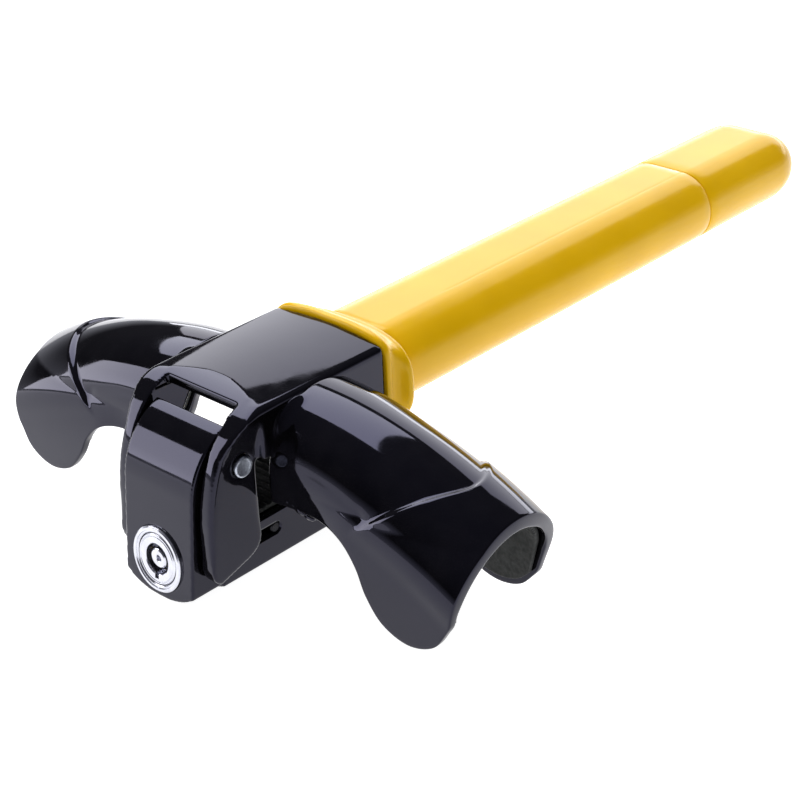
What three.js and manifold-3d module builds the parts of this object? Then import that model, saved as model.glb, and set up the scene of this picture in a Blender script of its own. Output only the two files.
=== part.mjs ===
// Steering wheel lock: a T-shaped lock that hooks over the rim of a car's steering wheel.
// Millimetres, +X right, +Y along the handle away from the lock face, +Z up.
// Inside this file Y is measured from the foot of the lock face and Z from the middle of the lock
// block's side edge; placeOnBase() moves everything so that the origin is under the box centre.
import * as THREE from 'three';
import { mergeVertices } from 'three/addons/utils/BufferGeometryUtils.js';
import Module from 'manifold-3d';

const wasm = await Module();
wasm.setup();

// ---- driving dimensions -------------------------------------------------------------------
const GAP = 0.3;                 // clearance between pieces that touch
const BASE_Z = -4.2;             // underside of the lock block and jaw arm
const HANDLE_END = 345.5;        // far end of the grip

const RIM_Y = 52.3;              // centre of the steering wheel rim when locked
const PIN = { y: 20, z: 43, r: 3.2, headR: 4.1, headHigh: 1 };  // hinge rivet of the jaw
const HEAD = { half: 25.3, rear: 82, wall: 76.3, top: 61, crown: 2, edge: 2.5, low: -1 };
const CHEEK = { inner: 17, outer: 22.3, rear: 26.3, shoulder: 43, taperLow: 47.6, taperTop: 58 };
const PASSAGE = { r: 23.6, z: 34.6 };            // arch of the rim passage through the head

const WING = { root: 25.6, end: 104.5, r: 24, thick: 3, bendR: 175, bendX: 20, crest: 60.7 };
const FLARE = { z: 36, depth: 4.2, fade: 12 };   // forward lean of the front ears
const PAD = { thick: 2, seat: 0.8, start: 0.02, end: 0.95, low: 0.94 };  // rubber lining, as shares of the wing
const CROWN_PAD = { thick: 2, reach: 1.3 };      // strip behind the jaw's room, its sweep in radians

const JAW = { half: 16, lean: 0.1, faceTop: 34, arcY: 28.3, arcZ: 31.5, arcR: 25, lipAngle: 1.91 };
const BLOCK_END = 13.4;          // parting line between lock block and jaw arm
const ARM = { top: 15.4, end: 75.7, bevelZ: -1.2, bevelX: 9 };
const BLOCK = { bevelZ: 0, bevelX: 7 };

const LOCK_Z = 9.5;              // axis of the lock cylinder and of the bolt
const BEZEL = { r: 11.3, front: -0.8, back: 6 };
const BARREL = { r: 8.75, front: -0.4, back: 22 };
const BOLT = { r: 4, tip: 81, shoulder: 26.8 };
const TRAVEL = 9;                // the cylinder and bolt pop out this far when unlocked
const KEY_NOTCH = { half: 0.9, depth: 1.6, back: 3 };
const PLUG = { r: 5.3, post: 3.5, face: 5.6, back: 14, tail: 1.5, end: 18.7 };
const TUMBLER = { count: 7, pitchR: 4.2, r: 0.5, holeR: 0.75, front: 5, back: 10.6 };
const CAM = { r: 3.6, offset: 1.2, front: 19.1, back: 21.6, roomR: 6 };
const LOCKING_PIN = { y: 16.5, r: 1.8, low: 4, high: 9.6, stroke: 2.2 };
const PIN_GROOVE = { half: 2.2, front: 5.4, end: 20 };  // lets the locking pin slide with the barrel
const GUIDE = { y: 38, r: 2, half: 15.6, slotHigh: 2.3 };
const BOLT_HEAD = { r: 5.2, end: 23.8, neck: 2.6 };
const SPRING = { r: 5.9, wire: 0.5, turns: 1.6, front: 24.4, roomR: 7.3 };
const STRIKE = { half: 8, top: 18, slotHalf: 4.6 };
const DOWEL = { x: 12.6, z: 3, r: 1.5, front: 8, back: 20 };
const WINDOW = { half: 16.5, end: 25.3 };        // opening in the top plate over the jaw's lip
const JAW_PAD = { half: 13, front: 30, back: 73, thick: 2 };

const GRIP = { half: 22, high: 14.5, z: 43.4, wall: 2.5, start: 94.4, seam: 277, dome: 16 };
const CORE = { half: 19.2, high: 11.7, wall: 2, start: 82.4, end: 324 };
const COLLAR = { front: 82.3, lip: 85, waist: 88, back: 94 };

// ---- materials ----------------------------------------------------------------------------
function finish(color, roughness, metalness) {
  return () => new THREE.MeshStandardMaterial({ color, roughness, metalness });
}
const blackPaint = finish(0x0b0b0e, 0.16, 0.1);
const yellowPlastic = finish(0xf0b90c, 0.22, 0);
const chrome = finish(0xd8dade, 0.12, 1);
const steel = finish(0x9a9ca0, 0.35, 1);
const brass = finish(0xb8923c, 0.3, 1);
const rubber = finish(0x1c201f, 0.85, 0);
const nylon = finish(0x24262a, 0.6, 0);

// ---- solids -------------------------------------------------------------------------------
function solid(geometry) {
  const bare = geometry.index ? geometry.clone() : geometry;
  bare.deleteAttribute('normal');
  bare.deleteAttribute('uv');
  const merged = mergeVertices(bare, 1e-4);
  return new wasm.Manifold(new wasm.Mesh({
    numProp: 3,
    vertProperties: new Float32Array(merged.attributes.position.array),
    triVerts: new Uint32Array(merged.index.array),
  }));
}

function toGeometry(manifold) {
  const mesh = manifold.getMesh();
  const geometry = new THREE.BufferGeometry();
  geometry.setAttribute('position', new THREE.BufferAttribute(new Float32Array(mesh.vertProperties), 3));
  geometry.setIndex(new THREE.BufferAttribute(new Uint32Array(mesh.triVerts), 1));
  return geometry;
}

function cut(body, ...tools) {
  return tools.reduce((rest, tool) => rest.subtract(tool), body);
}

function join(body, ...others) {
  return others.reduce((sum, other) => sum.add(other), body);
}

// A closed outline given as [a, b] pairs becomes a THREE.Shape.
function outline(points) {
  return new THREE.Shape(points.map(([a, b]) => new THREE.Vector2(a, b)));
}

// Outline in (y, z), extruded from x0 to x1.
function alongX(shape, x0, x1, curveSegments = 24) {
  const geometry = new THREE.ExtrudeGeometry(shape, { depth: x1 - x0, bevelEnabled: false, curveSegments });
  const basis = new THREE.Matrix4().makeBasis(
    new THREE.Vector3(0, 1, 0), new THREE.Vector3(0, 0, 1), new THREE.Vector3(1, 0, 0));
  geometry.applyMatrix4(basis);
  geometry.translate(x0, 0, 0);
  return solid(geometry);
}

// Outline in (x, z), extruded from y0 to y1.
function alongY(shape, y0, y1, curveSegments = 24) {
  const geometry = new THREE.ExtrudeGeometry(shape, { depth: y1 - y0, bevelEnabled: false, curveSegments });
  geometry.rotateX(Math.PI / 2);
  geometry.translate(0, y1, 0);
  return solid(geometry);
}

// Body of revolution about the lock axis (parallel to Y): pairs of [radius, y].
function turned(profile, segments = 32, x = 0, z = LOCK_Z) {
  const points = profile.map(([r, y]) => new THREE.Vector2(r, y));
  const geometry = new THREE.LatheGeometry([...points, points[0]], segments);
  geometry.translate(x, 0, z);
  return outward(solid(geometry), geometry);
}

// LatheGeometry faces out only when its profile runs one way round, so a wrong one is flipped.
function outward(manifold, geometry) {
  if (manifold.volume() > 0) return manifold;
  const flipped = geometry.clone();
  const index = flipped.index.array;
  for (let i = 0; i < index.length; i += 3) [index[i], index[i + 1]] = [index[i + 1], index[i]];
  return solid(flipped);
}

function rod(r, y0, y1, segments = 32, x = 0, z = LOCK_Z) {
  return turned([[0, y0], [r, y0], [r, y1], [0, y1]], segments, x, z);
}

// Round pin parallel to X.
function crossPin(r, x0, x1, y, z, segments = 24) {
  const geometry = new THREE.CylinderGeometry(r, r, x1 - x0, segments);
  geometry.rotateZ(Math.PI / 2);
  geometry.translate((x0 + x1) / 2, y, z);
  return solid(geometry);
}

function block(x0, x1, y0, y1, z0, z1) {
  const geometry = new THREE.BoxGeometry(x1 - x0, y1 - y0, z1 - z0);
  geometry.translate((x0 + x1) / 2, (y0 + y1) / 2, (z0 + z1) / 2);
  return solid(geometry);
}

// Closed solid between two matching point grids: rows of points, outer first.
function sheetSolid(outer, inner) {
  const rows = outer.length;
  const columns = outer[0].length;
  const positions = [...outer.flat(), ...inner.flat()].flat();
  const at = (layer, i, j) => layer * rows * columns + i * columns + j;
  const index = [];
  const quad = (a, b, c, d) => index.push(a, b, c, a, c, d);
  for (let i = 0; i + 1 < rows; i++) {
    for (let j = 0; j + 1 < columns; j++) {
      quad(at(0, i, j), at(0, i + 1, j), at(0, i + 1, j + 1), at(0, i, j + 1));
      quad(at(1, i, j), at(1, i, j + 1), at(1, i + 1, j + 1), at(1, i + 1, j));
    }
  }
  for (let i = 0; i + 1 < rows; i++) {
    quad(at(0, i + 1, 0), at(0, i, 0), at(1, i, 0), at(1, i + 1, 0));
    const end = columns - 1;
    quad(at(0, i, end), at(0, i + 1, end), at(1, i + 1, end), at(1, i, end));
  }
  for (let j = 0; j + 1 < columns; j++) {
    quad(at(0, 0, j), at(0, 0, j + 1), at(1, 0, j + 1), at(1, 0, j));
    quad(at(0, rows - 1, j + 1), at(0, rows - 1, j), at(1, rows - 1, j), at(1, rows - 1, j + 1));
  }
  const geometry = new THREE.BufferGeometry();
  geometry.setAttribute('position', new THREE.Float32BufferAttribute(positions, 3));
  geometry.setIndex(index);
  return outward(solid(geometry), geometry);
}

// Closed solid through a list of equal-length rings of points, capped at both ends.
function loft(rings) {
  const n = rings[0].length;
  const positions = rings.flat().flat();
  const index = [];
  for (let k = 0; k + 1 < rings.length; k++) {
    for (let i = 0; i < n; i++) {
      const a = k * n + i;
      const b = k * n + (i + 1) % n;
      index.push(a, b, b + n, a, b + n, a + n);
    }
  }
  const last = (rings.length - 1) * n;
  for (let i = 1; i + 1 < n; i++) {
    index.push(0, i + 1, i);
    index.push(last, last + i, last + i + 1);
  }
  const geometry = new THREE.BufferGeometry();
  geometry.setAttribute('position', new THREE.Float32BufferAttribute(positions, 3));
  geometry.setIndex(index);
  return outward(solid(geometry), geometry);
}

// ---- head: top plate, cheeks and rear wall in one casting ---------------------------------
function headSide() {
  const above = HEAD.top + HEAD.crown + 1;
  const side = new THREE.Shape();
  side.moveTo(HEAD.rear, HEAD.low);
  side.lineTo(HEAD.rear, above);
  side.lineTo(34, above);
  side.lineTo(33, above - 1.1);
  side.bezierCurveTo(15.5, 60.5, 6.6, 47.5, 5, 26);
  side.lineTo(4.4, 12);
  side.quadraticCurveTo(4.6, 6, 8, 5.4);
  side.lineTo(20, 9);
  side.quadraticCurveTo(26.3, 11, CHEEK.rear, 17);
  side.lineTo(CHEEK.rear, CHEEK.shoulder);
  side.lineTo(60, CHEEK.shoulder);
  side.lineTo(60, HEAD.low);
  return side;
}

function headSection() {
  const { half, top, crown, edge, low } = HEAD;
  const section = new THREE.Shape();
  section.moveTo(-half, low - 1);
  section.lineTo(half, low - 1);
  section.lineTo(half, top - edge);
  section.quadraticCurveTo(half, top, half - edge, top + 0.3);
  section.quadraticCurveTo(0, top + 2 * crown - 0.3, edge - half, top + 0.3);
  section.quadraticCurveTo(-half, top, -half, top - edge);
  return section;
}

function passageTool() {
  const { r, z } = PASSAGE;
  const arch = new THREE.Shape();
  arch.moveTo(RIM_Y - r, BASE_Z - 5);
  arch.lineTo(RIM_Y + r, BASE_Z - 5);
  arch.lineTo(RIM_Y + r, z);
  arch.absarc(RIM_Y, z, r, 0, Math.PI, false);
  return alongX(arch, -HEAD.half - 1, HEAD.half + 1, 20);
}

function strikeSlot(extra) {
  const half = STRIKE.slotHalf + extra;
  return block(-half, half, HEAD.wall - 1, HEAD.rear - 0.6 + extra, BASE_Z - 2, LOCK_Z + half);
}

function strikeOutline(extra) {
  const half = STRIKE.half + extra;
  return block(-half, half, HEAD.wall + 0.5 - extra, HEAD.rear - 0.8 + extra,
    HEAD.low + 1 - extra, STRIKE.top + extra);
}

function makeHead() {
  const body = alongY(headSection(), 2, HEAD.rear).intersect(alongX(headSide(), -HEAD.half, HEAD.half, 10));
  const jawRoom = block(-CHEEK.inner, CHEEK.inner, -2, RIM_Y, BASE_Z - 5, 57.6);
  const window = block(-WINDOW.half, WINDOW.half, -2, WINDOW.end, 50, 70);
  const pinHole = crossPin(PIN.r + GAP, -30, 30, PIN.y, PIN.z);
  return cut(body, passageTool(), jawRoom, window, pinHole, strikeOutline(GAP), strikeSlot(0.2),
    cheekTaper(-1), cheekTaper(1));
}

// Below the shoulder of the head the cheeks are thinner than the top plate is wide.
function cheekTaper(side) {
  const { outer, rear, taperLow, taperTop } = CHEEK;
  const section = [[outer, HEAD.low - 2], [HEAD.half + 5, HEAD.low - 2], [HEAD.half + 5, taperTop],
    [HEAD.half, taperTop], [outer, taperLow]];
  const shape = outline(section.map(([x, z]) => [side * x, z]));
  return alongY(shape, -2, rear + GAP);
}

function makeStrike() {
  return cut(strikeOutline(0), strikeSlot(0));
}

function makeHingePin() {
  const inner = CHEEK.outer + GAP;
  const outer = inner + PIN.headHigh;
  const shank = crossPin(PIN.r, -outer + 0.2, outer - 0.2, PIN.y, PIN.z);
  const leftHead = crossPin(PIN.headR, -outer, -inner, PIN.y, PIN.z);
  const rightHead = crossPin(PIN.headR, inner, outer, PIN.y, PIN.z);
  return join(shank, leftHead, rightHead);
}

// ---- saddle wings -------------------------------------------------------------------------
function crestZ(x) {
  const { bendR, bendX, crest } = WING;
  return crest - bendR + Math.sqrt(bendR ** 2 - (x - bendX) ** 2);
}

// Each half of a wing hangs down in an ear. This is its lower edge in (x, z), from the root to the
// ear's outer corner.
function edgeCurve(points) {
  const path = points.map(([x, z]) => new THREE.Vector3(x, 0, z));
  return new THREE.CatmullRomCurve3(path, false, 'centripetal');
}

const frontEar = edgeCurve([[WING.root, 28], [38, 29.2], [49, 29.6], [58, 26.6], [64.2, 20.5], [68.6, 12.5],
  [75.5, 5.2], [86, 2.4], [96, 6], [102.2, 14.5]]);
const rearEar = edgeCurve([[WING.root, 28], [38, 29.2], [49, 29.6], [56.5, 25.6], [61.5, 18.5], [65.8, 9.5],
  [71.5, 1.4], [80, -1.7], [88.5, 0.8], [94.5, 7]]);

function flare(x, z) {
  const reach = THREE.MathUtils.smoothstep(x, 36, 60);
  return FLARE.depth * (1 - Math.exp(-Math.max(0, FLARE.z - z) / FLARE.fade)) * reach;
}

// Distance down the outside of the wing from its crest to height z on the straight skirt.
function skirtDepth(x, z) {
  return Math.PI * WING.r / 2 + crestZ(x) - WING.r - z;
}

function wingPoint(x, s, side, inset) {
  const { r } = WING;
  const centre = crestZ(x) - r;
  const quarter = Math.PI * r / 2;
  const angle = Math.min(s, quarter) / r;
  const z = centre + (r - inset) * Math.cos(angle) - Math.max(0, s - quarter);
  const y = (r - inset) * Math.sin(angle) + (side < 0 ? flare(x, z) : 0);
  return [x, RIM_Y + side * y, z];
}

// Coons patch over one half of a wing: u runs root to end, v runs crest to lower edge. Gives (x, s).
// The end edge bends back from the crest to the ear's outer corner with the cube of v.
function wingPatch(u, v, ear) {
  const { root, end } = WING;
  const low = ear.getPoint(u);
  const corner = ear.getPoint(1);
  const endX = end - (end - corner.x) * v ** 3;
  const x = (1 - v) * (root + u * (end - root)) + v * low.x + (1 - u) * root + u * endX
    - ((1 - u) * root + u * (1 - v) * end + u * v * corner.x);
  return [x, v * skirtDepth(low.x, low.z)];
}

// Points of a wing between the shares start and end of its length, down to the share low of its depth.
function wingGrid(side, inset, columns, rows, { start, end, low }) {
  const grid = [];
  for (let i = -rows; i <= rows; i++) {
    const row = [];
    for (let j = 0; j <= columns; j++) {
      const u = start + (end - start) * j / columns;
      const [x, s] = wingPatch(u, low * Math.abs(i) / rows, i < 0 ? frontEar : rearEar);
      const [px, y, z] = wingPoint(x, s, Math.sign(i), inset);
      row.push([side * px, y, z]);
    }
    grid.push(row);
  }
  return grid;
}

function makeWing(side) {
  const whole = { start: 0, end: 1, low: 1 };
  return sheetSolid(wingGrid(side, 0, 18, 14, whole), wingGrid(side, WING.thick, 18, 14, whole));
}

function makePad(side) {
  const seat = WING.thick + PAD.seat;
  return sheetSolid(wingGrid(side, seat, 18, 14, PAD), wingGrid(side, seat + PAD.thick, 18, 14, PAD));
}

function makeCrownPad() {
  const outer = PASSAGE.r - GAP;
  const inner = outer - CROWN_PAD.thick;
  const behind = Math.PI / 2 - 0.02;
  const low = Math.PI / 2 - CROWN_PAD.reach;
  const shape = new THREE.Shape();
  shape.absarc(RIM_Y, PASSAGE.z, outer, low, behind, false);
  shape.absarc(RIM_Y, PASSAGE.z, inner, behind, low, true);
  return alongX(shape, -HEAD.half + 1, HEAD.half - 1, 10);
}

// ---- jaw: lock block with its curved front plate, and the long arm under the rim ----------
function bottomSection(bevelX, bevelZ, low, high, half) {
  const right = [[bevelX, low], [half, bevelZ], [half, high]];
  const left = right.map(([x, z]) => [-x, z]).reverse();
  return outline([...left, ...right]);
}

function jawSide() {
  const { lean, faceTop, arcY, arcZ, arcR, lipAngle } = JAW;
  const start = Math.PI - Math.asin((faceTop - arcZ) / arcR);
  const side = new THREE.Shape();
  side.moveTo(lean * BASE_Z, BASE_Z - 1);
  side.lineTo(BLOCK_END, BASE_Z - 1);
  side.lineTo(BLOCK_END, ARM.top + GAP);
  side.lineTo(CHEEK.rear, ARM.top + GAP);
  side.lineTo(CHEEK.rear, PIN.z);
  side.absarc(PIN.y, PIN.z, CHEEK.rear - PIN.y, 0, Math.PI / 2, false);
  side.absarc(arcY, arcZ, arcR, lipAngle, start, false);
  return side;
}

function makeJawBlock() {
  const section = bottomSection(BLOCK.bevelX, BLOCK.bevelZ, BASE_Z, 60, JAW.half);
  const body = alongY(section, -2, 30).intersect(alongX(jawSide(), -JAW.half - 1, JAW.half + 1, 14));
  const bezelSeat = rod(BEZEL.r + GAP, -5, BEZEL.back + GAP);
  const bore = rod(BARREL.r + GAP, -5, CHEEK.rear + 1);
  const pinHole = crossPin(PIN.r + GAP, -20, 20, PIN.y, PIN.z);
  return cut(body, bezelSeat, bore, pinGroove(), pinHole, ...dowelHoles());
}

// Keyway above the barrel in which the locking pin's tip runs.
function pinGroove() {
  const { half, front, end } = PIN_GROOVE;
  return block(-half, half, front, end, LOCK_Z, LOCK_Z + LOCKING_PIN.high + 1.4);
}

function dowelHoles() {
  return [-1, 1].map((side) => rod(DOWEL.r + GAP, DOWEL.front, DOWEL.back, 12, side * DOWEL.x, DOWEL.z));
}

function makeDowel(side) {
  return rod(DOWEL.r, DOWEL.front + 0.5, DOWEL.back - 0.5, 12, side * DOWEL.x, DOWEL.z);
}

function makeJawArm() {
  const section = bottomSection(ARM.bevelX, ARM.bevelZ, BASE_Z, ARM.top, JAW.half);
  const body = alongY(section, BLOCK_END + GAP, ARM.end);
  const barrelBore = rod(BARREL.r + GAP, 0, SPRING.front);
  const boltBore = rod(BOLT.r + GAP, 20, ARM.end + 2);
  const springRoom = rod(SPRING.roomR, 20, BOLT.shoulder + GAP);
  const { y, slotHigh } = GUIDE;
  const slotFront = y - TRAVEL - slotHigh;
  const slot = block(-20, 20, slotFront, y + slotHigh, LOCK_Z - slotHigh, LOCK_Z + slotHigh);
  return cut(body, barrelBore, boltBore, springRoom, slot, ...dowelHoles());
}

function makeJawPad() {
  const { half, front, back, thick } = JAW_PAD;
  return block(-half, half, front, back, ARM.top + GAP, ARM.top + GAP + thick);
}

function makeWasher(side) {
  const inner = JAW.half + GAP;
  const outer = CHEEK.inner - GAP;
  const [x0, x1] = side > 0 ? [inner, outer] : [-outer, -inner];
  return cut(crossPin(6, x0, x1, PIN.y, PIN.z), crossPin(PIN.r + GAP, x0 - 1, x1 + 1, PIN.y, PIN.z));
}

// ---- lock ---------------------------------------------------------------------------------
function makeBezel() {
  const { r, front, back } = BEZEL;
  const inner = BARREL.r + GAP;
  const chamfer = 0.9;
  const face = [[inner, front + 0.6], [r - chamfer, front], [r, front + chamfer]];
  return cut(turned([...face, [r, back], [inner, back]], 48), pinGroove());
}

function makeBarrel() {
  const { r, front, back } = BARREL;
  const body = turned([[0, front], [r - 0.5, front], [r, front + 0.5], [r, back], [0, back]], 48);
  const keyway = rod(PLUG.r, front - 1, PLUG.back + GAP);
  const tail = rod(PLUG.tail + 1.8, PLUG.face, back + 1);
  const camRoom = rod(CAM.roomR, CAM.front - 0.1, back + 1);
  const { half, depth, back: notchBack } = KEY_NOTCH;
  const keyNotch = block(-half, half, front - 1, notchBack, LOCK_Z - PLUG.r - depth, LOCK_Z);
  return cut(body, keyway, tail, camRoom, keyNotch, lockingPinHole());
}

function uprightPin(r, low, high) {
  const geometry = new THREE.CylinderGeometry(r, r, high - low, 20);
  geometry.rotateX(Math.PI / 2);
  geometry.translate(0, LOCKING_PIN.y, LOCK_Z + (low + high) / 2);
  return solid(geometry);
}

function lockingPinHole() {
  const { r, low, high, stroke } = LOCKING_PIN;
  return uprightPin(r + GAP, low - stroke - GAP, high + 2);
}

function makePlug() {
  const { post, face, back, tail, end } = PLUG;
  const wide = PLUG.r - GAP;
  const body = turned([[0, 0.6], [1.1, 0.6], [1.1, 0], [post - 0.3, 0], [post, 0.3], [post, face],
    [wide, face], [wide, back], [tail, back], [tail, end], [0, end]], 32);
  const deep = TUMBLER.back + 0.4;
  const holes = tumblerPlaces().map(([x, z]) => rod(TUMBLER.holeR, face - 1, deep, 8, x, z));
  return cut(body, ...holes);
}

function tumblerPlaces() {
  const { count, pitchR } = TUMBLER;
  return Array.from({ length: count }, (_, i) => {
    const angle = 2 * Math.PI * (i + 0.5) / count;
    return [pitchR * Math.sin(angle), LOCK_Z + pitchR * Math.cos(angle)];
  });
}

function makeTumbler(i) {
  const [x, z] = tumblerPlaces()[i];
  return rod(TUMBLER.r, TUMBLER.front, TUMBLER.back, 8, x, z);
}

function makeCam() {
  return rod(CAM.r, CAM.front, CAM.back, 24, 0, LOCK_Z - CAM.offset);
}

function makeBolt() {
  const { r, tip, shoulder } = BOLT;
  const { r: headR, end, neck } = BOLT_HEAD;
  const front = BARREL.back + GAP;
  const rodBody = turned([[0, front], [headR, front], [headR, end], [neck, end], [neck, shoulder + 0.5],
    [r, shoulder + 0.6], [r, tip - 1.2], [r - 1.2, tip], [0, tip]], 32);
  return cut(rodBody, crossPin(GUIDE.r + GAP, -6, 6, GUIDE.y, LOCK_Z));
}

function makeGuidePin() {
  return crossPin(GUIDE.r, -GUIDE.half, GUIDE.half, GUIDE.y, LOCK_Z);
}

// Compression spring round the bolt's neck, between the barrel's foot and the arm's shoulder.
function makeSpring() {
  const { r, turns, front } = SPRING;
  const length = BOLT.shoulder - SPRING.wire - front;
  class Coil extends THREE.Curve {
    getPoint(t) {
      const angle = 2 * Math.PI * turns * t;
      return new THREE.Vector3(r * Math.cos(angle), front + length * t, LOCK_Z + r * Math.sin(angle));
    }
  }
  const wire = new THREE.Shape();
  wire.absarc(0, 0, SPRING.wire, 0, 2 * Math.PI, false);
  return solid(new THREE.ExtrudeGeometry(wire, {
    steps: 60, curveSegments: 4, bevelEnabled: false, extrudePath: new Coil(),
  }));
}

// ---- handle -------------------------------------------------------------------------------
// Section of the grip and its parts: two half circles joined by flats.
function stadium(half, high) {
  const shape = new THREE.Shape();
  shape.absarc(half - high, GRIP.z, high, -Math.PI / 2, Math.PI / 2, false);
  shape.absarc(high - half, GRIP.z, high, Math.PI / 2, 3 * Math.PI / 2, false);
  return shape;
}

function stadiumRing(half, high, y, n = 48) {
  return Array.from({ length: n }, (_, i) => {
    const angle = 2 * Math.PI * i / n;
    const flat = Math.sign(Math.cos(angle)) * (half - high);
    return [flat + high * Math.cos(angle), y, GRIP.z + high * Math.sin(angle)];
  });
}

function makeSleeve() {
  const { half, high, wall, start, seam } = GRIP;
  return cut(alongY(stadium(half, high), start, seam, 12),
    alongY(stadium(half - wall, high - wall), start - 1, seam + 1, 12));
}

function makeEndCap() {
  const { half, high, wall, seam, dome } = GRIP;
  const rings = [stadiumRing(half, high, seam + GAP), stadiumRing(half, high, HANDLE_END - dome)];
  for (let k = 1; k <= 5; k++) {
    const t = Math.PI / 2 * k / 5;
    const shrink = dome * 0.55 * (1 - Math.cos(t));
    rings.push(stadiumRing(half - shrink, high - shrink, HANDLE_END - dome + dome * Math.sin(t)));
  }
  const cavity = alongY(stadium(half - wall, high - wall), seam - 1, HANDLE_END - dome, 12);
  return cut(loft(rings), cavity);
}

function makeCore() {
  const { half, high, wall, start, end } = CORE;
  return cut(alongY(stadium(half, high), start, end, 10),
    alongY(stadium(half - wall, high - wall), start + 3, end + 1, 10));
}

// Superelliptic ring used for the collar: square and crowned at the head, round at the grip.
function collarRing(y, half, low, top, power, crown, n = 56) {
  const centre = (low + top) / 2;
  return Array.from({ length: n }, (_, i) => {
    const angle = 2 * Math.PI * (i + 0.5) / n;
    const c = Math.cos(angle);
    const s = Math.sin(angle);
    const x = half * Math.sign(c) * Math.abs(c) ** (2 / power);
    const z = centre + (top - low) / 2 * Math.sign(s) * Math.abs(s) ** (2 / power);
    const bow = s > 0 ? crown * (1 - (x / half) ** 2) : 0;
    return [x, y, z + bow];
  });
}

function makeCollar() {
  const { front, lip, waist, back } = COLLAR;
  const body = loft([
    collarRing(front, 26.2, 27.5, 62.3, 7, 2.6),
    collarRing(lip, 26, 27.5, 61.8, 6.5, 2.6),
    collarRing(waist, 26.4, 27.4, 60.6, 4.5, 1.4),
    collarRing(back - 1.2, 28.2, 26.6, 60.2, 3, 0.3),
    collarRing(back, 27.2, 27.6, 59.2, 3, 0.3),
  ]);
  return cut(body, alongY(stadium(CORE.half + GAP, CORE.high + GAP), front - 1, back + 1, 12));
}

// ---- assembly -----------------------------------------------------------------------------
const lock = new THREE.Group();

function add(name, manifold, material) {
  const mesh = new THREE.Mesh(toGeometry(manifold), material());
  mesh.name = name;
  lock.add(mesh);
}

function addHead() {
  add('head_casting', makeHead(), blackPaint);
  for (const [name, side] of [['left', -1], ['right', 1]]) {
    add(`saddle_wing_${name}`, makeWing(side), blackPaint);
    add(`saddle_pad_${name}`, makePad(side), rubber);
  }
  add('crown_pad', makeCrownPad(), rubber);
  add('strike_plate', makeStrike(), steel);
  add('hinge_pin', makeHingePin(), steel);
}

function addHandle() {
  add('handle_collar', makeCollar(), yellowPlastic);
  add('handle_core', makeCore(), steel);
  add('grip_sleeve', makeSleeve(), yellowPlastic);
  add('grip_end_cap', makeEndCap(), yellowPlastic);
}

function addJaw() {
  add('jaw_block', makeJawBlock(), blackPaint);
  add('jaw_arm', makeJawArm(), blackPaint);
  add('jaw_pad', makeJawPad(), rubber);
  add('hinge_washer_left', makeWasher(-1), nylon);
  add('hinge_washer_right', makeWasher(1), nylon);
  add('arm_dowel_left', makeDowel(-1), steel);
  add('arm_dowel_right', makeDowel(1), steel);
  add('lock_bezel', makeBezel(), chrome);
}

function addLock() {
  add('lock_barrel', makeBarrel(), chrome);
  add('lock_bolt', makeBolt(), steel);
  add('guide_pin', makeGuidePin(), steel);
  add('barrel_spring', makeSpring(), steel);
  add('lock_plug', makePlug(), chrome);
  add('plug_cam', makeCam(), brass);
  for (let i = 0; i < TUMBLER.count; i++) add(`tumbler_${i + 1}`, makeTumbler(i), brass);
  add('locking_pin', uprightPin(LOCKING_PIN.r, LOCKING_PIN.low, LOCKING_PIN.high), brass);
}

function placeOnBase() {
  lock.position.set(0, -(BEZEL.front + HANDLE_END) / 2, -BASE_Z);
}

addHead();
addHandle();
addJaw();
addLock();
placeOnBase();

export default lock;
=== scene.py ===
"""Steering wheel lock: fine surfaces, finishes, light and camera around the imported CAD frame.

Lengths are in millimetres in the part's own axes: x right, y along the handle from the foot of the
lock face, z up from the side edge of the lock block. at() turns them into the row frame in metres.
"""
import math

import bmesh
import bpy
from mathutils import Matrix, Vector, noise


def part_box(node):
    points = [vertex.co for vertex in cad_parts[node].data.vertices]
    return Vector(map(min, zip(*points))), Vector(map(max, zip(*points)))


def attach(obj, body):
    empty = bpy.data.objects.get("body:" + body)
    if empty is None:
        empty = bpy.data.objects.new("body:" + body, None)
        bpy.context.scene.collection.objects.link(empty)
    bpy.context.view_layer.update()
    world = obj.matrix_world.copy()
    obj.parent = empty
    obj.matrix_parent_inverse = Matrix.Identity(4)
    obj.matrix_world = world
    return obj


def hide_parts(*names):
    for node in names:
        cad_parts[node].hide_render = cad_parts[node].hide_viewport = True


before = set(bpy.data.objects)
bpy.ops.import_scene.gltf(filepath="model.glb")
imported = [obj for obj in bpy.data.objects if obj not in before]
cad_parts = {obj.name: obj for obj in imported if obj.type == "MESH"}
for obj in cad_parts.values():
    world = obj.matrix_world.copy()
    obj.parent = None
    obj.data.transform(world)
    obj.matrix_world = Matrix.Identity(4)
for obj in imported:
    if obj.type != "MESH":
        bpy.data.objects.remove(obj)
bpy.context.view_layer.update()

MM = 0.001
GAP = 0.3
SIDES = (("left", -1), ("right", 1))
BEZEL_FRONT = -0.8
UNDERSIDE = -4.2
SEAT = Vector((0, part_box("lock_bezel")[0][1] - BEZEL_FRONT * MM,
               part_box("jaw_arm")[0][2] - UNDERSIDE * MM))

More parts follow.
